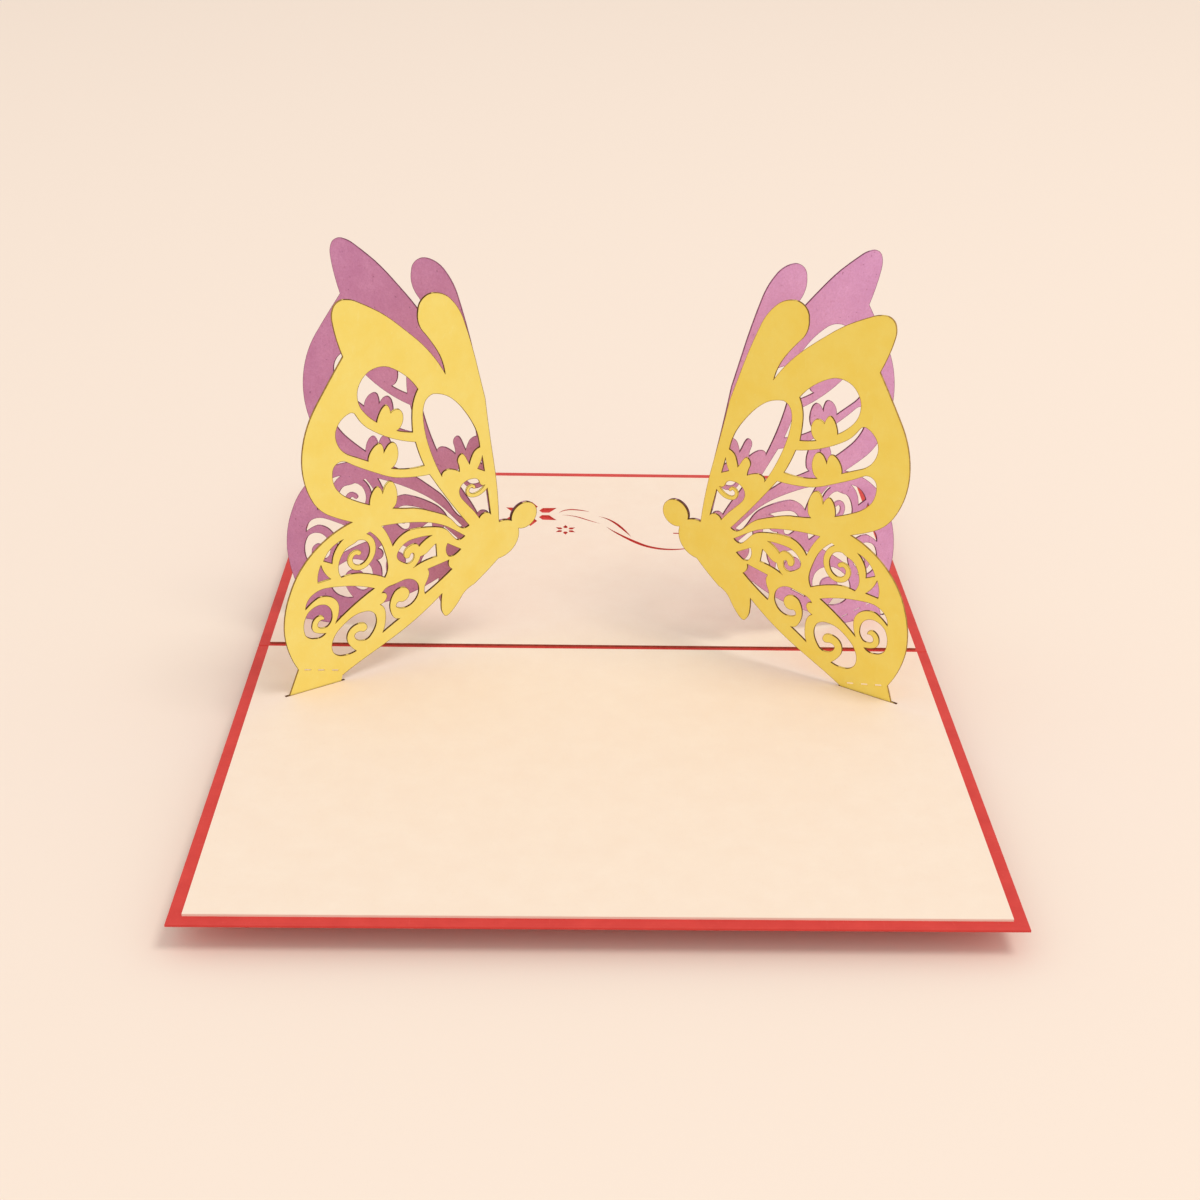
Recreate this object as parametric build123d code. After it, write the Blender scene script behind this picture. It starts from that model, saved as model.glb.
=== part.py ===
"""Pop-up greeting card: a folded cover, two liner panels and four laser-cut butterfly wing sheets.

Units are millimetres. X runs along the fold, Y from the near half to the far half, +Z is up.
The origin is the middle of the fold on the underside of the cover.
"""
import os
from math import cos, radians, sin

from build123d import *

os.makedirs("parts", exist_ok=True)

# Cover and liners
CARD_W = 150.0  # along the fold
CARD_H = 100.0  # one half, fold to free edge
COVER_T = 0.4
LINER_T = 0.48
SIDE_MARGIN = 2.5  # cover showing beside a liner
NEAR_MARGIN = 2.5
FAR_MARGIN = 3.2
FOLD_GAP = 1.8  # strip of cover showing between the two liners
SCORE_W = 0.6  # crease pressed into the underside of the cover
SCORE_DEPTH = 0.15

# Wing sheets
SHEET_T = 0.35
# The two butterflies are glued by hand, so each has angles of its own.
APEX_X = {"left": 30.0, "right": 29.5}  # where the crease meets the fold, from the middle
CREASE_LEAN = {"left": 78.2, "right": 82.0}  # crease above the fold line, leaning to the middle
FOOT_ANGLE = {  # between the fold and a sheet's foot line on its panel
    "near": {"left": 33.1, "right": 34.5},
    "far": {"left": 18.8, "right": 24.0},
}
GLUE = 0.06  # film between the two bodies

# Foot tabs, their slits through the liners and the relief that seats them under each liner
TAB_FROM = 29.0  # inner end of the foot, across the sheet from the crease
TAB_TO = 41.0
ROOT_DEPTH = 8.0  # sheet drawn below the crease's foot, then trimmed to the cover
TAB_REACH = 10.0  # how far the tab runs under the liner
TAB_TAPER = 1.6
SLIT_GAP = 0.12  # clearance on each face of the sheet in its slit
SLIT_END = 0.8  # how far a slit runs past each end of the foot
POCKET_SIDE = 0.3
POCKET_GAP = 0.03

# Perforated line above the foot, and the head
DASH_LENGTH = 1.7
DASH_WIDTH = 0.45
HEAD_R = 3.2

ARC_FIT = 0.05  # how closely arcs follow the drawn curves

LINER_Z = COVER_T
PANEL_Z = COVER_T + LINER_T


def arcs(path, start, end):
    """As few arcs as keep within ARC_FIT of the path, found by halving."""
    middle = (start + end) / 2
    a, b, c = path @ start, path @ middle, path @ end
    bend = abs((b - a).X * (c - a).Y - (b - a).Y * (c - a).X) / (c - a).length
    if bend < ARC_FIT / 10:
        return [Line(a, c)]
    arc = ThreePointArc(a, b, c)
    quarters = [path @ ((start + middle) / 2), path @ ((middle + end) / 2)]
    off = max(abs((point - arc.arc_center).length - arc.radius) for point in quarters)
    if off < ARC_FIT:
        return [arc]
    return arcs(path, start, middle) + arcs(path, middle, end)


def smooth(points):
    """Arcs along a smooth curve through the points."""
    return arcs(Spline(*points), 0, 1)


def run(points):
    """One outline piece: a straight edge through two points, a smooth curve through more."""
    return [Line(*points)] if len(points) == 2 else smooth(points)


def closed(*runs):
    """A face bounded by runs that share their end points."""
    return Face(Wire([edge for points in runs for edge in run(points)]))


def loop(*runs):
    """As closed, where each run starts at the last point of the one before it."""
    whole = [list(runs[0])]
    for points in runs[1:]:
        whole.append([whole[-1][-1], *points])
    whole[-1].append(whole[0][0])
    return closed(*whole)


def arm(points, width, tip):
    """A curled strip that narrows from width at its root to tip at its free end."""
    path = Spline(*points)
    steps = 2 * len(points)
    left, right = [], []
    for i in range(steps + 1):
        at = i / steps
        here, along = path @ at, path % at
        side = Vector(-along.Y, along.X) * ((width + (tip - width) * at) / 2)
        left.append(here + side)
        right.append(here - side)
    cap = here + Vector(along.X, along.Y) * (tip / 2)
    round_end = ThreePointArc(left[-1], cap, right[-1])
    return Face(Wire([*smooth(left), round_end, *smooth(right[::-1]), Line(right[0], left[0])]))


def bud(left, right, root):
    """A two-lobed bud that stands on a rib between two windows; left ends in its cleft."""
    return closed(left, [left[-1], *right], [right[-1], root], [root, left[0]])


# The cut-out design of one wing, in the plane of the sheet: first along the foot line away
# from the crease, then up the crease. All four sheets are cut to it.
WING = loop(
    [(-3, 31), (0, 41), (3.4, 50), (7.3, 60.5)],
    [(12, 70), (14.7, 75), (18, 80), (20.6, 82.2), (24, 83.2), (26.5, 82), (27.1, 79.6), (25.2, 75.3)],
    [(22.3, 72.6), (20, 69.9), (18, 66)],
    [(20.3, 68.6), (25, 72.7), (30, 76), (35, 78.9), (40, 80.9), (43.2, 81.6), (45.2, 80.8),
     (45.7, 79), (45, 76.3), (43.6, 73.2), (41.8, 70)],
    [(45, 62), (47, 55), (46.5, 46), (44.6, 41.3), (41, 36.9), (37, 34.9), (33.2, 33.7)],
    [(38.2, 30.4), (41.5, 26.5), (44, 21), (45, 15), (44.8, 10), (43.2, 4.8), (39.8, -0.8)],
    [(TAB_TO, -ROOT_DEPTH)],
    [(TAB_FROM, -ROOT_DEPTH)],
    [(TAB_FROM, -3.6)],
    [(23, 1), (18, 4.6), (13, 8.8), (7.8, 14.4)],
    [(7.5, 11.8), (6.8, 9.7), (5.5, 8.5), (4.5, 9.3), (3.2, 11.6), (0, 15.9)],
    [(-2.4, 18.6), (-5, 21.9)],
    [(-6.8, 22.6), (-8.3, 24.2), (-9, 26.5), (-8.6, 29)],
    [(-6.4, 31)],
)
HEAD = Pos(-9.3, 32.2) * Circle(HEAD_R).face()

FORE_TOP = loop(
    [(23.7, 62.9), (26, 65), (29, 66.9), (32.5, 67.9), (35.6, 66.9), (37.2, 64.3), (37.2, 61.5),
     (35.5, 58.6), (33.3, 56.8), (31.2, 55.6), (28.5, 54.4), (23, 53.4)],
    [(23.9, 57), (24.2, 60)],
)
FORE_MIDDLE = loop(
    [(21.9, 51.2), (25.5, 51.7), (29, 52.7), (33, 54.4), (36, 56.7), (37.8, 58.2), (39.3, 57.4),
     (40.5, 55.2), (40.3, 52.4), (38.5, 50), (35, 48.3), (31.1, 47), (28.6, 46), (25.5, 45.3),
     (22, 45.2), (18.7, 45.7)],
    [(20.3, 48.2)],
)
FORE_LONG = loop(
    [(4.5, 30.8), (8, 34.2), (12, 38.2), (17, 43.6)],
    [(20, 43.3), (23, 43.2), (26, 43.5), (29, 44.4), (32.5, 45.6), (36, 47), (38.4, 47.6),
     (39.6, 46.6), (39.7, 44.6), (38.8, 42.2), (36.5, 40), (33.5, 38.5), (28.8, 37.1), (25.6, 36.4),
     (22, 36.1), (18, 35.7), (14, 34.6), (10, 33), (5.2, 30.3)],
)
FORE_OVAL = loop(
    [(20, 61.8), (21.4, 60.5), (21.5, 57.5), (20.4, 54), (18.3, 49.5), (16.3, 46.3), (13.9, 42.9)],
    [(13.8, 43.9), (12.6, 44.5), (11, 44.3), (9.8, 43.8)],
    [(10.5, 45.7), (10.8, 47.2), (10.2, 47.9), (9, 47.1), (7.7, 45.4)],
    [(7.5, 47.4), (6.9, 48.7), (6, 49.3)],
    [(6.7, 51.2), (8.3, 54), (10.5, 56.6), (13, 59), (16, 61)],
)
FORE_CHIP = loop([(5, 47.4), (3.5, 43.6)], [(5.5, 44.3)], [(5.1, 45.8)])
FORE_HOOK = loop(
    [(2.3, 40.6), (-0.5, 33)],
    [(0.2, 33.5), (1.2, 33.5), (2.3, 32.3)],
    [(4.5, 34.5), (7.2, 36.8), (8.7, 38.6), (8.8, 40.2), (7.6, 41.6), (6, 42), (4.6, 41.6), (4, 40.7)],
)
HIND_CRESCENT = loop(
    [(5, 28.3), (8, 29.9), (11, 31.3), (14, 32.1), (18, 32.6), (22, 32.6), (26.2, 32.3)],
    [(25, 31), (23.7, 29.1), (22.6, 27.2)],
    [(21.4, 29.2), (19.8, 30.5), (16.5, 31.1), (13, 31), (10, 30.1), (6.2, 27.4)],
)
HIND_SCROLL = loop(
    [(13.4, 29.1), (15.5, 29), (17.8, 28.6), (19.6, 27.8), (20.8, 26.4), (20.9, 24.2),
     (19.8, 23.3), (18.3, 22.7), (17.2, 23), (16.8, 24.2), (17.3, 25.2), (17.8, 25.1)],
    [(18, 24.2)],
    [(18.7, 24), (19.4, 24.8), (19.3, 26), (18.3, 27), (17, 27.3), (16.1, 26.6)],
    [(15.5, 27.4), (14.5, 28.4)],
)
HIND_LEAF = loop(
    [(12, 27), (11.1, 23.8)],
    [(13.5, 23.1), (16.5, 21.5)],
    [(15.6, 22.8), (15.3, 24.2)],
    [(13.8, 25), (13, 26)],
)
HIND_CHIP = loop([(5.3, 25.1), (9.1, 26.8)], [(9.2, 25.5), (8.7, 24.1)])
HIND_BODY = loop(
    [(7.8, 22.7), (12.8, 20.9)],
    [(12.2, 19.2), (12.5, 17.5), (12.2, 14.7)],
    [(9.3, 17.3), (6.5, 20.3)],
    [(7.6, 21.3)],
)
HIND_LOW = loop(
    [(14, 16.2), (14.8, 17.8), (16.5, 18.8), (18.5, 18.7), (20.2, 18), (21.7, 17.5), (23.1, 16)],
    [(21.7, 15.3), (22, 13.9), (23, 13.2)],
    [(21.6, 12), (21, 10), (20.8, 8), (21, 6)],
    [(19.2, 7.6), (17.3, 9.2)],
    [(18.6, 9.4), (19.6, 10.5), (20.4, 12.5), (20.4, 14.5), (19.6, 16.3), (18, 16.9), (16.6, 16.2),
     (16.2, 15), (16.6, 13.9), (17.4, 13.4), (18.3, 13.5)],
    [(18.9, 12.9), (18.7, 12.1)],
    [(17.2, 11.7), (15.6, 12.1), (14.4, 13.4), (13.9, 14.8)],
)
HIND_ROUND = loop(
    [(28.8, 31.2), (27, 29.9), (25.3, 27.9), (24, 25.6), (22.7, 21.3), (23, 19.8)],
    [(25, 20.5), (28, 21.2), (31, 21.4), (33.5, 20.8)],
    [(34.7, 23.8), (34.4, 26), (33.6, 27.6), (32, 28.7), (30.9, 29.6), (29.9, 30.4)],
)
HIND_EDGE_TOP = loop(
    [(34.6, 29.9), (35.7, 28.3), (36.2, 26.5), (36.2, 24.3)],
    [(38.4, 25.1)],
    [(37.6, 27.3)],
)
HIND_EDGE_LOW = loop([(38.8, 24.3), (38, 22.8), (35.9, 20.7)], [(38.8, 20)], [(39.1, 22)])
HIND_SWEEP = loop(
    [(25, 17.4), (27.5, 18), (31, 18.6), (35, 18.7), (38, 18.3), (39.8, 17), (40.6, 13.8)],
    [(39.2, 15.5), (37.8, 16.5), (36.2, 16.6), (34.5, 16), (33.2, 14.7), (32.7, 13), (33, 9.7)],
    [(30, 13), (27.5, 15.4)],
)
HIND_CURL = loop(
    [(34.7, 9.2), (34.1, 10.2), (34.1, 12), (34.9, 13.7), (36.7, 14.7), (38.7, 14.2), (40, 12.8),
     (40.4, 10.5), (39, 7), (37.3, 6.5), (35.5, 6.8), (34.8, 7.6)],
    [(36.3, 7.7), (37.9, 8.4), (38.4, 10), (38, 11.4), (37, 12), (36, 11.6), (35.8, 11)],
    [(36.5, 11), (37.1, 10.3), (36.9, 9.3), (35.9, 8.9)],
)
HIND_COIL = loop(
    [(23, 8), (23.3, 10.2), (24.3, 11.5), (26.2, 11.9), (28.5, 11.3), (30.6, 9.6), (32.3, 7.3),
     (32.9, 5), (32.6, 3.2), (31.6, 1.9), (30, 1.4), (28.3, 1.5), (26.6, 2.2)],
    [(27.9, 3.2), (29.2, 4.8), (29.5, 6.7), (28.8, 8.2), (27.3, 9), (25.8, 8.9), (25.1, 8),
     (25.3, 7.2), (26.2, 7)],
    [(27, 7), (27.8, 6.3), (27.5, 5.4), (26.2, 4.7), (24.8, 4.7), (23.6, 6)],
)
WINDOWS = [
    FORE_TOP, FORE_MIDDLE, FORE_LONG, FORE_OVAL, FORE_CHIP, FORE_HOOK,
    HIND_CRESCENT, HIND_SCROLL, HIND_LEAF, HIND_CHIP, HIND_BODY, HIND_LOW, HIND_ROUND,
    HIND_EDGE_TOP, HIND_EDGE_LOW, HIND_SWEEP, HIND_CURL, HIND_COIL,
]

# Ornament left standing inside the windows
GROWTHS = [
    bud(left=[(28, 53.6), (26.1, 57.3), (27, 58.5), (29, 57.8)],
        right=[(30.6, 59.5), (31.6, 57.5), (31.4, 55)], root=(29.5, 53.6)),
    bud(left=[(28.1, 45.2), (25.9, 50), (26.8, 51.2), (28.9, 49)],
        right=[(30.6, 51.1), (31.8, 49.7), (31.2, 46.4)], root=(29.8, 45.6)),
    bud(left=[(25.5, 35.8), (24.5, 41), (25.8, 42.5), (27.4, 39.8)],
        right=[(29.2, 41.3), (29.9, 40), (29, 36.6)], root=(27.2, 35.8)),
    arm([(2, 40.9), (3.1, 38.9), (4.8, 38), (6.4, 38.4), (6.8, 39.4), (6.2, 40.2), (5.3, 39.9)],
        width=1.1, tip=0.6),
    arm([(31.6, 30), (28.7, 29.5), (27.4, 27.5), (27.3, 25.4), (28.2, 23.6), (29.9, 22.8),
         (31.4, 23.4), (32.2, 24.9), (31.6, 26.3), (30.4, 26.3)], width=1.5, tip=1.0),
]

# Perforated line just above the foot
PERFORATION = Line((29.2, -2.4), (39.2, -0.9))
DASHES = [
    Pos(PERFORATION @ at)
    * Rot(0, 0, PERFORATION.tangent_angle_at(at))
    * Rectangle(DASH_LENGTH, DASH_WIDTH)
    for at in (0.17, 0.51, 0.84)
]


def wing_profile():
    """The wing sheet with its windows cut and its ornament standing in them."""
    sheet = Sketch() + [WING, HEAD]
    sheet -= WINDOWS
    sheet += GROWTHS
    return sheet - DASHES


def hand(side):
    """+1 for the wings on the right, -1 for those on the left, which lean the other way."""
    return 1 if side == "right" else -1


def crease_direction(side):
    lean = radians(CREASE_LEAN[side])
    return Vector(-hand(side) * cos(lean), 0, sin(lean))


def foot_direction(side, row):
    """Level direction along a sheet's foot, away from the fold."""
    angle = radians(FOOT_ANGLE[row][side])
    return Vector(hand(side) * cos(angle), sin(angle) * (1 if row == "far" else -1), 0)


def sheet_plane(side, row):
    """Sheet plane with X away from the crease, Y up the crease and Z out of the sheet."""
    up = crease_direction(side)
    foot = foot_direction(side, row)
    across = (foot - up * foot.dot(up)).normalized()
    return Plane(origin=(hand(side) * APEX_X[side], 0, PANEL_Z), x_dir=across, z_dir=across.cross(up))


def sheet_shift(side, row):
    """How far a sheet stands back from the crease drawn on the fold: the rear one clears the front."""
    if row == "near":
        return Vector(0, 0, 0)
    front = sheet_plane(side, "near")
    back = front.z_dir if front.z_dir.Y > 0 else front.z_dir * -1
    return Vector(back.X, back.Y, 0).normalized() * (SHEET_T + GLUE)


def prism(profile, plane):
    """The profile as card stock, half its thickness to each side of the plane."""
    return extrude(plane * profile, SHEET_T / 2, both=True)


def foot_frame(side, row):
    """Level frame on the cover: X along the foot line, Y toward the side the tab bends to."""
    foot = foot_direction(side, row)
    turn = Vector(-foot.Y, foot.X, 0)
    if turn.X * hand(side) > 0:
        turn = turn * -1
    return Plane(origin=(hand(side) * APEX_X[side], 0, COVER_T), x_dir=foot, z_dir=foot.cross(turn))


def foot_span(side, row):
    """Where the foot starts and ends along the foot line."""
    k = sheet_plane(side, row).x_dir.dot(foot_direction(side, row))
    return TAB_FROM / k, TAB_TO / k


def tab_face(side, row, grow, root):
    """Tab outline on its level frame, grown all round and starting root behind the foot line."""
    start, end = foot_span(side, row)
    reach = TAB_REACH + grow
    points = [
        (start - grow, -root),
        (end + grow, -root),
        (end + grow, reach / 3),
        (end + grow - TAB_TAPER, reach),
        (start - grow + TAB_TAPER, reach),
        (start - grow, reach / 3),
    ]
    return Polygon(*points, align=None)


def level_extrude(side, row, sketch, low, high):
    """Solid on a foot frame between two heights above the cover."""
    placed = Pos(0, 0, low) * (foot_frame(side, row) * sketch)
    return extrude(placed, high - low, dir=(0, 0, 1))


def foot_tab(side, row):
    """The part of a sheet that lies flat between cover and liner."""
    return level_extrude(side, row, tab_face(side, row, 0, SHEET_T / 2), 0, SHEET_T)


def above_cover(solid):
    """Trim a sheet where it meets the cover."""
    return split(solid, bisect_by=Plane(origin=(0, 0, COVER_T)), keep=Keep.TOP)


def yellow_sheet(side):
    """Front sheet: wing, body and head in one plane, and its foot tab."""
    wing = above_cover(prism(wing_profile(), sheet_plane(side, "near")))
    return wing + foot_tab(side, "near")


def purple_sheet(side):
    """Rear sheet: wing over the far panel, body creased round to lie behind the front body."""
    near, far = sheet_plane(side, "near"), sheet_plane(side, "far")
    shift = sheet_shift(side, "far")
    profile = wing_profile()
    body_plane = Plane(near.origin + shift, x_dir=near.x_dir, z_dir=near.z_dir)
    wing_plane = Plane(far.origin + shift, x_dir=far.x_dir, z_dir=far.z_dir)
    fold = Plane(near.origin + shift, z_dir=(far.x_dir + near.x_dir).normalized())
    reach = 2 * CARD_W
    strip = Rectangle(reach, reach, align=(Align.MIN, Align.CENTER))
    wing_part = profile & (Pos(-SHEET_T, 0) * strip)
    body_part = profile & (Pos(SHEET_T, 0) * Rot(0, 0, 180) * strip)
    wing = split(prism(wing_part, wing_plane), bisect_by=fold, keep=Keep.TOP)
    body = split(prism(body_part, body_plane), bisect_by=fold, keep=Keep.BOTTOM)
    return above_cover(wing + body) + foot_tab(side, "far").moved(Location(shift))


def cover():
    """One folded sheet, opened flat, with the crease rolled into the inside."""
    sheet = Box(CARD_W, 2 * CARD_H, COVER_T, align=(Align.CENTER, Align.CENTER, Align.MIN))
    roll = (SCORE_W**2 / 4 + SCORE_DEPTH**2) / (2 * SCORE_DEPTH)
    groove = Pos(0, 0, COVER_T - SCORE_DEPTH + roll) * Rot(0, 90, 0) * Cylinder(roll, 2 * CARD_W)
    return sheet - groove


def ribbon(points, width):
    """A lens-shaped laser line: nothing wide at its ends, width at its middle."""
    path = Spline(*points)
    steps = 2 * len(points)
    left, right = [path @ 0], [path @ 0]
    for i in range(1, steps):
        at = i / steps
        here, along = path @ at, path % at
        side = Vector(-along.Y, along.X) * (width * sin(radians(180 * at)) / 2)
        left.append(here + side)
        right.append(here - side)
    left.append(path @ 1)
    right.append(path @ 1)
    return Face(Wire([*smooth(left), *smooth(right[::-1])]))


def petal_star(x, y, radius):
    """Six separate pointed petals round a centre."""
    petal = Polygon(
        (0.37 * radius, -0.1 * radius), (0.58 * radius, -0.22 * radius), (radius, 0),
        (0.58 * radius, 0.22 * radius), (0.37 * radius, 0.1 * radius), align=None,
    )
    return [Pos(x, y) * Rot(0, 0, 30 + 60 * i) * petal for i in range(6)]


def liner_ornament():
    """Laser cuts in the far liner that let the cover show through."""
    cuts = petal_star(-15.7, 71.8, 7.7) + petal_star(-6.7, 62.1, 2.9)
    cuts += [
        ribbon([(-8.4, 72.5), (-6.9, 74.2), (-4.8, 74.7), (-2.6, 74.3), (-0.3, 73.3)], 0.7),
        ribbon([(-7.9, 71.2), (-5.5, 70.9), (-2.7, 69.5), (-0.2, 67.7), (2.4, 66)], 0.5),
        ribbon([(1.6, 70.7), (3.9, 69.3), (6.3, 66.3), (8.3, 62.4), (10.1, 58.2)], 0.8),
        ribbon([(3.7, 64.3), (6.5, 60.3), (9.5, 56.8), (12.1, 54.1), (15.4, 52), (19.1, 51.1),
                (23.2, 51.6), (26.5, 53.2)], 1.1),
        Pos(21.6, 60.7) * Rectangle(1.5, 0.6),
    ]
    return cuts


def liner(row):
    """One liner panel with a slit and a raised pocket for each sheet's foot tab."""
    sign = -1 if row == "near" else 1
    inner, outer = FOLD_GAP / 2, CARD_H - (NEAR_MARGIN if row == "near" else FAR_MARGIN)
    middle = Pos(0, sign * (inner + outer) / 2, LINER_Z)
    flat_align = (Align.CENTER, Align.CENTER, Align.MIN)
    panel = middle * Box(CARD_W - 2 * SIDE_MARGIN, outer - inner, LINER_T, align=flat_align)
    for side in ("left", "right"):
        at = Location(sheet_shift(side, row))
        half_slit = SHEET_T / 2 + SLIT_GAP
        relief = tab_face(side, row, POCKET_SIDE, half_slit)
        pocket = level_extrude(side, row, relief, 0, SHEET_T + POCKET_GAP)
        start, end = foot_span(side, row)
        slot = Rectangle(end - start + 2 * SLIT_END, 2 * half_slit)
        slit = level_extrude(side, row, Pos((start + end) / 2, 0) * slot, 0, 2 * LINER_T)
        panel -= pocket.moved(at)
        panel -= slit.moved(at)
    if row == "far":
        for cut in liner_ornament():
            panel -= extrude(Pos(0, 0, LINER_Z / 2) * cut, COVER_T + LINER_T, dir=(0, 0, 1))
    return panel


def write(shape, node):
    export_step(shape, f"parts/{node}.step")


write(cover(), "cover_card")
write(liner("near"), "near_liner")
write(liner("far"), "far_liner")
for side in ("left", "right"):
    write(yellow_sheet(side), f"yellow_wing_{side}")
    write(purple_sheet(side), f"purple_wing_{side}")
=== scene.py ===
# %% [markdown]
# # Pop-up card with two paper butterflies
# The real card is seven sheets: a folded cover, two glued liners and four laser-cut wings.  They
# could be modelled again here, but two models of one thing drift apart, so this script takes the
# packed sheets as they are and gives them dyed paper, burnt edges and the fine brown line that a
# laser leaves beside its cut.  Some of that colour is painted light and shade: the lit and shaded
# copies of the wings' dyes, red bounce light and shade on some liner walls, and contact shade
# round the slits.

from math import cos, radians, sin

import bpy
from mathutils import Matrix, Vector


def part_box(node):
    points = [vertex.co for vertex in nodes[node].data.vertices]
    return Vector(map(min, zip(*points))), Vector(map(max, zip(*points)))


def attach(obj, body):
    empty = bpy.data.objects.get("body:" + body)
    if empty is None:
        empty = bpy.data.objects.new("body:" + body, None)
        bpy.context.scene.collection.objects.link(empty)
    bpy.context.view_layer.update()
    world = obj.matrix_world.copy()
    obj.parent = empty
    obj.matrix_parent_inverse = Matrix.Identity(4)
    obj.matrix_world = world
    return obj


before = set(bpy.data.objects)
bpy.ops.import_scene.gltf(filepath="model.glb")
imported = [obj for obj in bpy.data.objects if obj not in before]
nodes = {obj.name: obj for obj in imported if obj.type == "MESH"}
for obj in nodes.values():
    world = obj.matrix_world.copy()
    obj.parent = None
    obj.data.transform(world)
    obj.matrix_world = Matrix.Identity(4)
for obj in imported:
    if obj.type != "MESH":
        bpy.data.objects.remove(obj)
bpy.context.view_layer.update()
print("sheets:", sorted(nodes))

# %% [markdown]
# ## Names and heights
# Later steps need to know which sheets belong together and how high the liners lie.  A height
# could be typed in, but one read from the sheet follows it if the model changes.  The real card
# lifts off the table at its free edge, so the floor lies a few millimetres below it.

# %% Name the sheets and read their heights
MM = 0.001
COVER = "cover_card"
LINERS = ("near_liner", "far_liner")
WINGS = [f"{colour}_wing_{side}" for colour in ("yellow", "purple") for side in ("left", "right")]
PANEL_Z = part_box("near_liner")[1][2]
FLOOR_DROP = 5.6 * MM
print("liner top", round(PANEL_Z / MM, 2), "mm, floor", round(-FLOOR_DROP / MM, 1), "mm")

# %% [markdown]
# ## Camera
# The photograph was taken with a long lens, a little left of the middle and looking down at the
# fold.  A view can be matched by eye, but the card's corners and the wings' tips are enough to
# solve it, and a solved view puts every cut in its place.  Its result is a lens, a place and
# three angles, which are turned into Blender's camera here.

# %% Place the camera
LENS_PX = 1729.3  # focal length in pixels of the photograph
IMAGE_PX = 1200.0
SENSOR = 36.0  # millimetres, as Blender's lens is
NEAREST, FURTHEST = 0.01, 50.0
EYE = Vector((-6.64, -339.9, 187.6)) * MM
PITCH, YAW, ROLL = 0.4751, 0.0228, 0.0207


def aim_camera():
    """A camera at EYE that looks down by PITCH, right by YAW, and leans by ROLL."""
    ahead = Vector((sin(YAW) * cos(PITCH), cos(YAW) * cos(PITCH), -sin(PITCH)))
    level = Vector((cos(YAW), -sin(YAW), 0))
    upright = level.cross(ahead)
    right = cos(ROLL) * level + sin(ROLL) * upright
    up = cos(ROLL) * upright - sin(ROLL) * level
    turn = Matrix((right, up, -ahead)).transposed()
    data = bpy.data.cameras.new("card_camera")
    data.sensor_width = SENSOR
    data.lens = LENS_PX / IMAGE_PX * SENSOR
    data.clip_start, data.clip_end = NEAREST, FURTHEST
    camera = bpy.data.objects.new("card_camera", data)
    camera.matrix_world = Matrix.Translation(EYE) @ turn.to_4x4()
    bpy.context.collection.objects.link(camera)
    bpy.context.scene.camera = camera
    return data.lens


print("lens", round(aim_camera(), 2), "mm")

# %% [markdown]
# ## Colour
# A colour is easiest to judge as it looks on a screen, 0 to 255, while Blender's sockets want the
# amount of light.  The two differ by a curve, so each colour goes through it once.

# %% Turn screen colours into light
KNEE, SLOPE, OFFSET, GAMMA = 0.04045, 12.92, 0.055, 2.4  # the screen's standard curve


def ink(red, green, blue):
    """A screen colour, 0 to 255, as linear light."""
    values = []
    for value in (red, green, blue):
        v = value / 255
        values.append(v / SLOPE if v <= KNEE else ((v + OFFSET) / (1 + OFFSET)) ** GAMMA)
    return (*values, 1.0)


print("mid grey holds", round(ink(128, 128, 128)[0], 3), "of full light")

# %% [markdown]
# ## A small kit for node trees
# Every finish is a tree of nodes.  A tree can be clicked together by hand, but then it can't be
# read or changed in a script, and written out in full it buries the recipe.  This class keeps a
# recipe to a line for each idea: `add` puts in a node and sets its sockets, `wire` joins two.


class Tree:
    """A fresh material and the few node shapes that paper needs."""

    def __init__(self, name):
        self.material = bpy.data.materials.new(name)
        self.material.use_nodes = True
        self.nodes = self.material.node_tree.nodes
        self.links = self.material.node_tree.links
        self.nodes.clear()
        self.out = self.nodes.new("ShaderNodeOutputMaterial")

    def add(self, kind, **values):
        """A node, with each value set as its property or, failing that, as its socket."""
        node = self.nodes.new("ShaderNode" + kind)
        for key, value in values.items():
            if hasattr(node, key):
                setattr(node, key, value)
            else:
                node.inputs[key.replace("_", " ")].default_value = value
        return node

    def wire(self, source, target):
        self.links.new(source, target)

    def place(self, stretch=(1, 1, 1)):
        """Object coordinates, stretched per axis."""
        coords = self.add("TexCoord")
        mapping = self.add("Mapping", Scale=stretch)
        self.wire(coords.outputs["Object"], mapping.inputs["Vector"])
        return mapping.outputs["Vector"]

    def noise(self, at, scale, detail, rough):
        node = self.add("TexNoise", Scale=scale, Detail=detail, Roughness=rough)
        self.wire(at, node.inputs["Vector"])
        return node.outputs["Fac"]

    def ramp(self, fac, *stops):
        """A colour between (position, colour) stops."""
        node = self.add("ValToRGB")
        band = node.color_ramp
        while len(band.elements) < len(stops):
            band.elements.new(0.5)
        for element, (position, colour) in zip(band.elements, stops):
            element.position, element.color = position, colour
        self.wire(fac, node.inputs["Fac"])
        return node.outputs["Color"]

    def share(self, fac, low, high, most):
        """Nothing at low, rising to most at high."""
        node = self.add("MapRange", From_Min=low, From_Max=high, To_Min=0.0, To_Max=most)
        self.wire(fac, node.inputs["Value"])
        return node.outputs["Result"]

    def blend(self, fac, first, second):
        """Two colours mixed; each argument is a value or another node's socket."""
        node = self.nodes.new("ShaderNodeMix")
        node.data_type = "RGBA"
        for index, value in ((0, fac), (6, first), (7, second)):
            if isinstance(value, (float, tuple)):
                node.inputs[index].default_value = value
            else:
                self.wire(value, node.inputs[index])
        return node.outputs[2]

    def finish(self, shader):
        self.wire(shader.outputs["BSDF"], self.out.inputs["Surface"])
        return self.material


print("kit ready")

# %% [markdown]
# ## Paper
# Card is pressed from dyed pulp.  Its colour drifts slowly across the sheet, its surface has a
# fine cloudy bloom, and single fibres lie on it in every direction.  A scanned picture of paper
# would do, but it has a resolution and repeats.  Noise on Object coordinates stays sharp at any
# distance and sits still on the sheet.  Fibres are noise stretched along one axis, three times.

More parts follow.
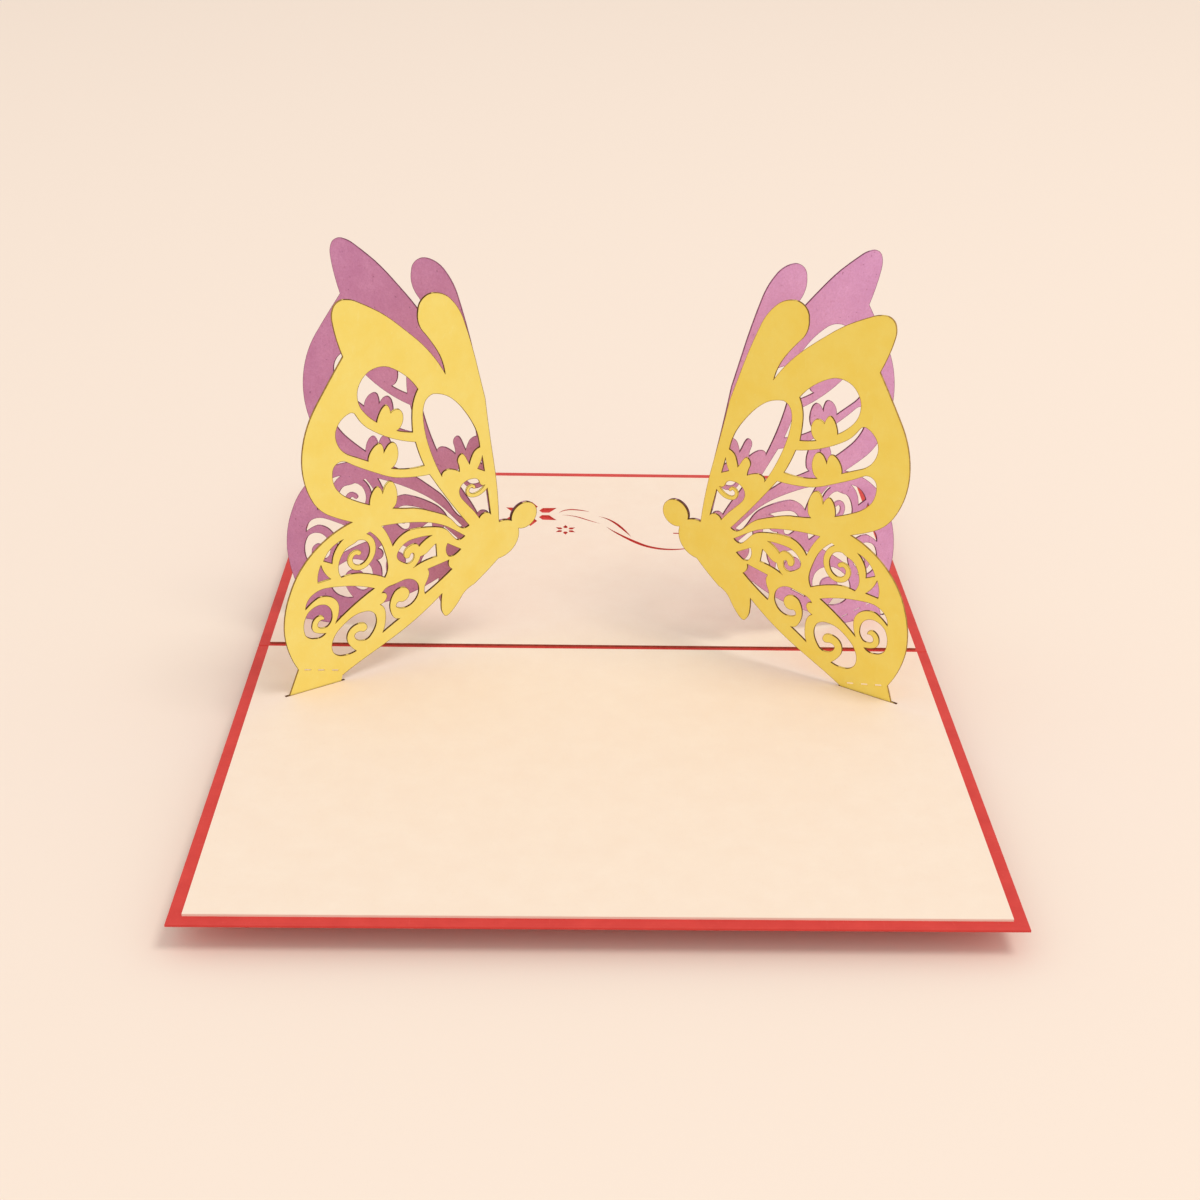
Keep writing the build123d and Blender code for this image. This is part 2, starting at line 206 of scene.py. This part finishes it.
# %% Write the paper recipe
MOTTLING, BLOOM, FIBRES, GRAIN, SPECKS = 160.0, 700.0, 2600.0, 2400.0, 1300.0  # spots a metre
FIBRE_RUNS = ((1.0, 0.12, 0.4), (0.12, 1.0, 0.4), (0.5, 0.3, 0.1))
BUMP_DEPTH = 0.05 * MM


def paper(name, face, shade, fibre, fibre_share, tooth, roughness, sheen=0.0, fleck=None):
    """face and shade are the dye at its lightest and deepest, tooth is how rough it feels.

    A stock with a fleck colour also has a coarser grain, as recycled card does."""
    t = Tree(name)
    flat = t.place()
    bloom = t.noise(flat, BLOOM, 3.0, 0.6)
    dye = t.ramp(t.noise(flat, MOTTLING, 5.0, 0.6), (0.3, shade), (0.7, face))
    dye = t.blend(t.share(bloom, 0.35, 0.7, 0.35), dye, shade)
    strands = [t.noise(t.place(run), FIBRES, 2.0, 0.5) for run in FIBRE_RUNS]
    for strand in strands:
        dye = t.blend(t.share(strand, 0.66, 0.74, fibre_share), dye, fibre)
    if fleck:
        dye = t.blend(t.share(t.noise(flat, GRAIN, 3.0, 0.7), 0.4, 0.6, 0.35), dye, fibre)
        dye = t.blend(t.share(t.noise(flat, SPECKS, 1.0, 0.4), 0.73, 0.78, 0.6), dye, fleck)
    shader = t.add("BsdfPrincipled", Roughness=roughness, Specular_IOR_Level=0.25,
                   Sheen_Weight=sheen)
    t.wire(dye, shader.inputs["Base Color"])
    bump = t.add("Bump", Strength=tooth, Distance=BUMP_DEPTH)
    t.wire(t.blend(0.5, bloom, strands[0]), bump.inputs["Height"])
    t.wire(bump.outputs["Normal"], shader.inputs["Normal"])
    return t.finish(shader)


print("fibres run", len(FIBRE_RUNS), "ways")

# %% [markdown]
# ## The stocks
# The cover is red card, the liners a smoother cream paper, and the wings yellow and purple card,
# the purple with darker flecks.  One dye for both butterflies would be simplest, but each wing of
# a pair has its own copy of the dye, the left yellow and the right purple paler, more than the
# lamp
# makes them: the paler copy is painted light and the deeper one painted shade.

# %% Make the paper stocks
red_card = paper("red_card", ink(222, 66, 58), ink(208, 54, 48), ink(228, 88, 78),
                 0.25, 0.5, 0.6, 0.1)
cream_paper = paper("cream_liner", ink(251, 232, 212), ink(249, 228, 207), ink(242, 218, 192),
                    0.15, 0.35, 0.75)
# Lit copy of the yellow stock: its paler dye is painted light.
yellow_lit_copy = paper("yellow_card_painted_lit", ink(253, 234, 132), ink(251, 226, 111),
                    ink(254, 239, 155), 0.25, 0.4, 0.6, 0.1)
# Shaded copy of the yellow stock: its deeper dye is painted shade.
yellow_shaded_copy = paper("yellow_card_painted_shaded", ink(253, 229, 116), ink(251, 221, 95),
                     ink(254, 235, 138), 0.25, 0.4, 0.6, 0.1)
# Shaded copy of the purple stock: its deeper dye is painted shade.
purple_shaded_copy = paper("purple_card_painted_shaded", ink(221, 154, 197), ink(206, 136, 181),
                    ink(188, 112, 155), 0.4, 0.5, 0.6, 0.1, fleck=ink(150, 84, 122))
# Lit copy of the purple stock: its paler dye is painted light.
purple_lit_copy = paper("purple_card_painted_lit", ink(233, 173, 219), ink(217, 154, 202),
                     ink(200, 130, 174), 0.4, 0.5, 0.6, 0.1, fleck=ink(168, 100, 140))
stocks = (red_card, cream_paper, yellow_lit_copy, yellow_shaded_copy, purple_shaded_copy, purple_lit_copy)
print("stocks:", [stock.name for stock in stocks])

# %% [markdown]
# ## Burnt edges
# A laser browns the wall of every cut, darkest where the beam dwelt.  The walls could be darkened
# with a painted mask, but they are faces of their own, so a second material on them is exact and
# needs no painting.  Noise makes the burn uneven.  The same recipe with reds paints light and
# shade
# on some liner walls: the red light that the cover throws back, and the shade in the fold.

# %% Make the edges
BURN = 900.0  # spots a metre


# Besides the laser's burn, this recipe also paints light and shade: red bounce light and the
# fold's shade on liner walls.
def scorch_and_painted_light(name, light, dark):
    """A matt wall that varies between two colours."""
    t = Tree(name)
    burn = t.noise(t.place(), BURN, 4.0, 0.6)
    shader = t.add("BsdfPrincipled", Roughness=0.85, Specular_IOR_Level=0.1)
    t.wire(t.ramp(burn, (0.35, dark), (0.7, light)), shader.inputs["Base Color"])
    return t.finish(shader)


yellow_edge = scorch_and_painted_light("yellow_cut_edge", ink(96, 64, 30), ink(54, 36, 20))
yellow_rim = scorch_and_painted_light("yellow_rim", ink(160, 122, 62), ink(116, 84, 42))
yellow_outline = scorch_and_painted_light("yellow_outline", ink(198, 160, 84), ink(156, 118, 58))
purple_edge = scorch_and_painted_light("purple_cut_edge", ink(120, 66, 90), ink(78, 40, 58))
purple_rim = scorch_and_painted_light("purple_rim", ink(168, 108, 136), ink(130, 78, 102))
slit_edge = scorch_and_painted_light("liner_cut_edge", ink(150, 108, 78), ink(104, 68, 46))
# Partly the laser's burn, partly painted contact shade where the wings' feet stand in the slits.
slit_rim_and_contact_shade = scorch_and_painted_light("liner_rim_and_contact_shade", ink(176, 132, 96), ink(132, 92, 62))
# Painted red bounce light: the cover's red thrown back onto the walls of the flower and ribbon.
red_bounce_edge = scorch_and_painted_light("liner_painted_red_bounce", ink(236, 110, 96), ink(218, 92, 80))
# Painted shade in the fold's gap, tinted by the cover's red light.
fold_shade_edge = scorch_and_painted_light("liner_fold_painted_shade", ink(188, 104, 82), ink(160, 80, 62))
print("edges on yellow:", yellow_edge.name, yellow_rim.name, yellow_outline.name)
print("edges on purple:", purple_edge.name, purple_rim.name)
print("edges on the liners:", slit_edge.name, slit_rim_and_contact_shade.name, red_bounce_edge.name, fold_shade_edge.name)

# %% [markdown]
# ## Faces and walls
# A sheet arrives as loose triangles that don't say which are its two faces and which the walls of
# its cuts.  They could be picked by hand for each sheet, but the normals tell: the faces look
# along the few directions that carry most of the area, and all else is wall.

# %% Tell faces from walls
SAME_WAY, FACE_WAY = 0.999, 0.99  # cosines between normals
FACE_SHARE = 0.01  # a direction that carries more of the area than this is a face


def face_directions(mesh):
    """Unit normals that carry more than FACE_SHARE of the mesh's area."""
    found = []
    total = 0.0
    for polygon in mesh.polygons:
        total += polygon.area
        for entry in found:
            if entry[0].dot(polygon.normal) > SAME_WAY:
                entry[1] += polygon.area
                break
        else:
            found.append([polygon.normal.copy(), polygon.area])
    return [normal for normal, area in found if area > FACE_SHARE * total]


def paint(mesh, group, slot):
    for index in group:
        mesh.polygons[index].material_index = slot


def dress(name, papers):
    """Give a sheet its materials, the first on its faces, the second on its walls."""
    mesh = nodes[name].data
    mesh.materials.clear()
    for material in papers:
        mesh.materials.append(material)
    fronts = face_directions(mesh)
    walls = [polygon.index for polygon in mesh.polygons
             if not any(abs(front.dot(polygon.normal)) > FACE_WAY for front in fronts)]
    paint(mesh, walls, 1)
    return mesh, walls


print("a face carries more than", FACE_SHARE, "of a sheet's area")

# %% [markdown]
# ## Islands of wall
# The walls of one cut hang together, and those of two cuts don't.  Blender can split a mesh into
# its loose parts, but these triangles are all loose, so they are joined here by the places that
# they share.  An island then tells its cut by its size and its place.

# %% Group the walls
WELD = 0.005 * MM


def islands(mesh, picked):
    """These polygons in groups that share corners, each a list of polygon indices."""
    home = {}
    for index in picked:
        for vertex in mesh.polygons[index].vertices:
            spot = tuple(round(c / WELD) for c in mesh.vertices[vertex].co)
            home.setdefault(spot, []).append(index)
    boss = {index: index for index in picked}

    def head(index):
        while boss[index] != index:
            boss[index] = boss[boss[index]]
            index = boss[index]
        return index

    for members in home.values():
        for index in members[1:]:
            boss[head(index)] = head(members[0])
    groups = {}
    for index in picked:
        groups.setdefault(head(index), []).append(index)
    return list(groups.values())


print("corners closer than", round(WELD / MM, 3), "mm are one")

# %% [markdown]
# ## Cover and wings
# The cover was trimmed with a blade and is red all through, so it takes one material.  On a wing
# the long free edges are cut fast and stay a light brown, the windows are cut slowly and burn
# dark, and the dashes of the perforation keep the paper's own colour.  They are told apart by
# how far an island of walls reaches and how much wall it has.  A wall that looks straight up or
# down counts as a face, as the glued tab's do, so a round cut is split there, and its smallest
# pieces keep the paper's colour too.

# %% Dress the cover and the wings
PUNCHED_AREA = 2.5 * MM * MM  # a dash of the perforation has less wall than this
OUTLINE_REACH = 40 * MM  # only the long free edges reach further than this


def reach(mesh, group):
    """How far a group of polygons spreads along the axis it is longest on."""
    centres = [mesh.polygons[index].center for index in group]
    return max(max(c[axis] for c in centres) - min(c[axis] for c in centres)
               for axis in range(3))


# Each wing takes the lit or the shaded copy of its stock, which is painted light and shade.
WING_PAPERS = {
    "yellow_wing_left": (yellow_lit_copy, yellow_edge, yellow_outline),
    "yellow_wing_right": (yellow_shaded_copy, yellow_edge, yellow_outline),
    "purple_wing_left": (purple_shaded_copy, purple_edge, purple_rim),
    "purple_wing_right": (purple_lit_copy, purple_edge, purple_rim),
}
nodes[COVER].data.materials.clear()
nodes[COVER].data.materials.append(red_card)
for name, papers in WING_PAPERS.items():
    mesh, walls = dress(name, papers)
    long_edges = small = 0
    for group in islands(mesh, walls):
        if sum(mesh.polygons[index].area for index in group) < PUNCHED_AREA:
            small += 1
            paint(mesh, group, 0)
        elif reach(mesh, group) > OUTLINE_REACH:
            long_edges += 1
            paint(mesh, group, 2)
    print(name, len(walls), "wall triangles,", long_edges, "long edges,", small, "small islands")

# %% [markdown]
# ## Liners
# The liners were trimmed with a blade too, so their outer walls stay cream.  The slits for the
# wings' feet are scorched.  The walls of the small flower and ribbon are painted red, as painted
# light that the red cover below them throws back, and the edges at the fold a browner red, as
# painted shade in the fold's gap with the cover's red light in it.  The walls could be listed one
# by one, but their place says it all: a slit lies where a wing meets the panel, and the fold and
# the outer edges lie on the sides of the liner's box.

# %% Dress the liners
FOOT_BAND = 0.6 * MM  # above or below the panel, where a wing passes through it
FOOT_REACH = 9 * MM
ON_EDGE = 0.02 * MM


def near_a_foot(mesh, group):
    """True if a wing passes through the panel close to this island of walls."""
    middle = sum((mesh.polygons[index].center for index in group), Vector()) / len(group)
    return any(abs(vertex.co.z - PANEL_Z) < FOOT_BAND and (vertex.co - middle).length < FOOT_REACH
               for name in WINGS for vertex in nodes[name].data.vertices)


def liner_wall(centre, low, high, fold_y, scorched):
    """Which of the liner's materials a wall takes, from where it is."""
    x, y = centre.x, centre.y
    # Slot 3 is painted shade in the fold, slot 2 painted red bounce light, slot 1 a slit's burn.
    if abs(y - fold_y) < ON_EDGE:
        return 3
    if min(abs(x - low[0]), abs(x - high[0]), abs(y - low[1]), abs(y - high[1])) < ON_EDGE:
        return 0
    return 1 if scorched else 2


for name in LINERS:
    mesh, walls = dress(name, (cream_paper, slit_edge, red_bounce_edge, fold_shade_edge))
    low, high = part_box(name)
    fold_y = low[1] if name == "far_liner" else high[1]
    slits = 0
    for group in islands(mesh, walls):
        scorched = near_a_foot(mesh, group)
        slits += scorched
        for index in group:
            polygon = mesh.polygons[index]
            polygon.material_index = liner_wall(polygon.center, low, high, fold_y, scorched)
    print(name, len(walls), "wall triangles,", slits, "scorched cuts")

# %% [markdown]
# ## A kit for Geometry Nodes
# The next piece follows the sheets' own edges, which is work for Geometry Nodes.  Its tree could
# be drawn in the editor, but a script can't show that to its reader, so it gets the same kind of
# helpers as the materials have, and two for comparing numbers and joining answers.

# %% Write the maker


class Maker:
    """A Geometry Nodes group with its inputs and the same two helpers as Tree."""

    def __init__(self, name, inputs):
        self.group = bpy.data.node_groups.new(name, "GeometryNodeTree")
        for socket, kind in inputs:
            self.group.interface.new_socket(socket, in_out="INPUT",
                                            socket_type="NodeSocket" + kind)
        self.group.interface.new_socket("Result", in_out="OUTPUT",
                                        socket_type="NodeSocketGeometry")
        self.given = self.add("NodeGroupInput").outputs

    def add(self, kind, **settings):
        node = self.group.nodes.new(kind)
        for key, value in settings.items():
            setattr(node, key, value)
        return node

    def wire(self, source, target):
        self.group.links.new(source, target)

    def compare(self, operation, value, limit):
        node = self.add("FunctionNodeCompare", operation=operation)
        self.wire(value, node.inputs["A"])
        self.wire(limit, node.inputs["B"])
        return node.outputs["Result"]

    def join(self, operation, first, second):
        node = self.add("FunctionNodeBooleanMath", operation=operation)
        self.wire(first, node.inputs[0])
        self.wire(second, node.inputs[1])
        return node.outputs["Boolean"]


print("maker ready")

# %% [markdown]
# ## Scorched rims
# Beside each cut the beam leaves a hairline of brown on the paper, which draws the fine outline
# round every window.  It could be a texture, but a line this thin needs a very large one, or a
# bevel, which would change the sheet.  Here it is a tiny tube laid on the edge.  The tree finds
# its path: weld the loose triangles, keep the sharp edges above a height, turn them into curves,
# and sweep a ring along them.  Short curves are corners and dashes, very long ones are a liner's
# trimmed border, and both are dropped.

# %% Build the rim tree
RIM_WELD = 0.002 * MM


def rim_tree():
    """Sheet in, tubes along its cut edges out."""
    m = Maker("scorched_rim", (("Sheet", "Geometry"), ("Radius", "Float"), ("Turn", "Float"),
                               ("Lowest", "Float"), ("Shortest", "Float"), ("Longest", "Float"),
                               ("Sides", "Int"), ("Burn", "Material")))
    weld = m.add("GeometryNodeMergeByDistance")
    weld.inputs["Distance"].default_value = RIM_WELD
    m.wire(m.given["Sheet"], weld.inputs["Geometry"])
    bend = m.add("GeometryNodeInputMeshEdgeAngle").outputs["Unsigned Angle"]
    split = m.add("ShaderNodeSeparateXYZ")
    m.wire(m.add("GeometryNodeInputPosition").outputs["Position"], split.inputs["Vector"])
    cut = m.join("AND", m.compare("GREATER_THAN", bend, m.given["Turn"]),
                 m.compare("GREATER_THAN", split.outputs["Z"], m.given["Lowest"]))
    path = m.add("GeometryNodeMeshToCurve")
    m.wire(weld.outputs["Geometry"], path.inputs["Mesh"])
    m.wire(cut, path.inputs["Selection"])
    length = m.add("GeometryNodeSplineLength").outputs["Length"]
    stray = m.join("OR", m.compare("LESS_THAN", length, m.given["Shortest"]),
                   m.compare("GREATER_THAN", length, m.given["Longest"]))
    keep = m.add("GeometryNodeDeleteGeometry", domain="CURVE")
    m.wire(path.outputs["Curve"], keep.inputs["Geometry"])
    m.wire(stray, keep.inputs["Selection"])
    ring = m.add("GeometryNodeCurvePrimitiveCircle")
    m.wire(m.given["Sides"], ring.inputs["Resolution"])
    m.wire(m.given["Radius"], ring.inputs["Radius"])
    sweep = m.add("GeometryNodeCurveToMesh")
    sweep.inputs["Fill Caps"].default_value = True
    m.wire(keep.outputs["Geometry"], sweep.inputs["Curve"])
    m.wire(ring.outputs["Curve"], sweep.inputs["Profile Curve"])
    real = m.add("GeometryNodeRealizeInstances")
    m.wire(sweep.outputs["Mesh"], real.inputs["Geometry"])
    coat = m.add("GeometryNodeSetMaterial")
    m.wire(real.outputs["Geometry"], coat.inputs["Geometry"])
    m.wire(m.given["Burn"], coat.inputs["Material"])
    m.wire(coat.outputs["Geometry"], m.add("NodeGroupOutput").inputs["Result"])
    return m.group


rims = rim_tree()
print("rim tree has", len(rims.nodes), "nodes")

# %% [markdown]
# ## From tree to piece
# The tree therefore runs on a copy of the sheet, its result is kept as a mesh, and the copy
# goes. A modifier's input is set by the identifier of its socket, because names may repeat.

# %% Write the settling helper


def settle(group, source, name, **inputs):
    """Run a tree on a copy of a mesh and keep the result as an object of its own."""
    holder = bpy.data.objects.new(name + "_maker", source.copy())
    bpy.context.collection.objects.link(holder)
    modifier = holder.modifiers.new("nodes", "NODES")
    modifier.node_group = group
    for socket in group.interface.items_tree:
        if socket.in_out == "INPUT" and socket.name in inputs:
            modifier[socket.identifier] = inputs[socket.name]
    graph = bpy.context.evaluated_depsgraph_get()
    mesh = bpy.data.meshes.new_from_object(holder.evaluated_get(graph), depsgraph=graph)
    holder.modifiers.clear()
    bpy.data.objects.remove(holder)
    mesh.name = name
    piece = bpy.data.objects.new(name, mesh)
    bpy.context.collection.objects.link(piece)
    return piece


print("settle takes a tree and a mesh")

# %% [markdown]
# ## Rims on the wings
# All four wings have the line on both faces, from just above the panel up.  On the right yellow
# wing it looks paler in the photograph, so that rim takes the light brown of the outline.

# %% Grow the wings' rims
RIM_SIDES = 5
RIM_TURN = 0.8  # radians between two faces that meet in a cut edge
WING_RIM_R = 0.045 * MM
WING_SHORTEST, WING_LONGEST = 2.0 * MM, 400 * MM
WING_FROM = PANEL_Z + 0.2 * MM


def grow(name, burn, radius, lowest, shortest, longest):
    """One sheet's rim, riding on the root body."""
    rim = settle(rims, nodes[name].data, name + "_rim", Radius=radius, Turn=RIM_TURN,
                 Lowest=lowest, Shortest=shortest, Longest=longest, Sides=RIM_SIDES, Burn=burn)
    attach(rim, "root")
    print(rim.name, len(rim.data.polygons), "faces")


for name, burn, slot in (("yellow_wing_left", yellow_rim, "yellow_card"),
                         ("yellow_wing_right", yellow_outline, "yellow_card"),
                         ("purple_wing_left", purple_rim, "purple_card"),
                         ("purple_wing_right", purple_rim, "purple_card")):
    grow(name, burn, WING_RIM_R, WING_FROM, WING_SHORTEST, WING_LONGEST)

# %% [markdown]
# ## Rims on the slits
# The near panel shows a short brown tick at each end of its slits.  It is the same line, a bit
# wider, and the same tree makes it: only the loops round the slits are short enough to stay.  Its
# brown also paints the contact shade where the wings' feet stand in the slits.

# %% Grow the slits' rims
SLIT_RIM_R = 0.06 * MM
SLIT_SHORTEST, SLIT_LONGEST = 0.1 * MM, 60 * MM
SLIT_FROM = PANEL_Z - 0.1 * MM
# The rim round the slits is partly burn and partly painted contact shade at the feet.
grow("near_liner", slit_rim_and_contact_shade, SLIT_RIM_R, SLIT_FROM, SLIT_SHORTEST, SLIT_LONGEST)

# %% [markdown]
# ## Floor
# The card lies on a plain cream surface without an edge in view.  A curved studio sweep is the
# usual way, but here a large flat square is enough, because the backdrop behind it has the
# floor's own colour.  It is part of the stage, not of the object.

# %% Lay the floor
FLOOR_HALF = 6.0


def plain(name, colour):
    """A matt finish of one colour."""
    t = Tree(name)
    return t.finish(t.add("BsdfPrincipled", Base_Color=colour, Roughness=0.95,
                          Specular_IOR_Level=0.05))


def lay_floor():
    mesh = bpy.data.meshes.new("floor")
    corners = [(x * FLOOR_HALF, y * FLOOR_HALF, -FLOOR_DROP)
               for x, y in ((-1, -1), (1, -1), (1, 1), (-1, 1))]
    mesh.from_pydata(corners, [], [(0, 1, 2, 3)])
    mesh.materials.append(plain("floor_paper", ink(250, 232, 216)))
    floor = bpy.data.objects.new("floor", mesh)
    bpy.context.collection.objects.link(floor)


lay_floor()
print("floor", 2 * FLOOR_HALF, "m across")

# %% [markdown]
# ## Lamp
# One soft light from the front right makes the left yellow wing and the right purple wing the
# brighter of each pair, and throws the faint shadows behind the bodies.  A sun lamp would cut
# them too sharply, and a lamp close by would light the floor unevenly, so a disc a metre wide
# stands three metres away.

# %% Hang the lamp


def around(azimuth, elevation, distance):
    """A place seen from the card: azimuth 0 in front, 90 at the right, in degrees."""
    a, e = radians(azimuth), radians(elevation)
    return Vector((sin(a) * cos(e), -cos(a) * cos(e), sin(e))) * distance


def lamp(name, place, size, power, colour):
    """A round area lamp that looks at the card."""
    data = bpy.data.lights.new(name, "AREA")
    data.shape, data.size, data.energy, data.color = "DISK", size, power, colour
    light = bpy.data.objects.new(name, data)
    light.location = place
    light.rotation_euler = (-place).to_track_quat("-Z", "Y").to_euler()
    bpy.context.collection.objects.link(light)


lamp("window", around(60, 64, 3.0), size=1.0, power=24.0, colour=(1.0, 0.98, 0.95))
print("lamp 3 m away")

# %% [markdown]
# ## Light tent
# The photograph has almost no hard shadow: pale walls all round light the card, and only the gap
# below its lifted edge stays dark.  Many lamps could do that, but the world does it at once.  What
# the camera sees of the world is kept apart from its light, by asking which kind of ray arrives,
# so that a low view shows a cream backdrop and no horizon.

# %% Put up the tent


def tent(light, strength, backdrop):
    """A world that lights with one colour and shows another one behind the floor."""
    world = bpy.data.worlds.new("tent")
    world.use_nodes = True
    made = world.node_tree.nodes
    wire = world.node_tree.links.new
    sky = made["Background"]
    sky.inputs["Color"].default_value = light
    sky.inputs["Strength"].default_value = strength
    seen = made.new("ShaderNodeBackground")
    seen.inputs["Color"].default_value = backdrop
    ray = made.new("ShaderNodeLightPath")
    shown = ray.outputs["Is Camera Ray"]
    for kind in ("Is Glossy Ray", "Is Transmission Ray"):
        either = made.new("ShaderNodeMath")
        either.operation = "MAXIMUM"
        wire(shown, either.inputs[0])
        wire(ray.outputs[kind], either.inputs[1])
        shown = either.outputs[0]
    mix = made.new("ShaderNodeMixShader")
    wire(shown, mix.inputs[0])
    wire(sky.outputs[0], mix.inputs[1])
    wire(seen.outputs[0], mix.inputs[2])
    wire(mix.outputs[0], made["World Output"].inputs["Surface"])
    bpy.context.scene.world = world


tent((1.0, 0.99, 0.98, 1.0), 0.79, ink(230, 212, 196))
bpy.context.scene.view_settings.view_transform = "Standard"
print("tent up, colours shown as written")

# %% Finish
print("scene built")
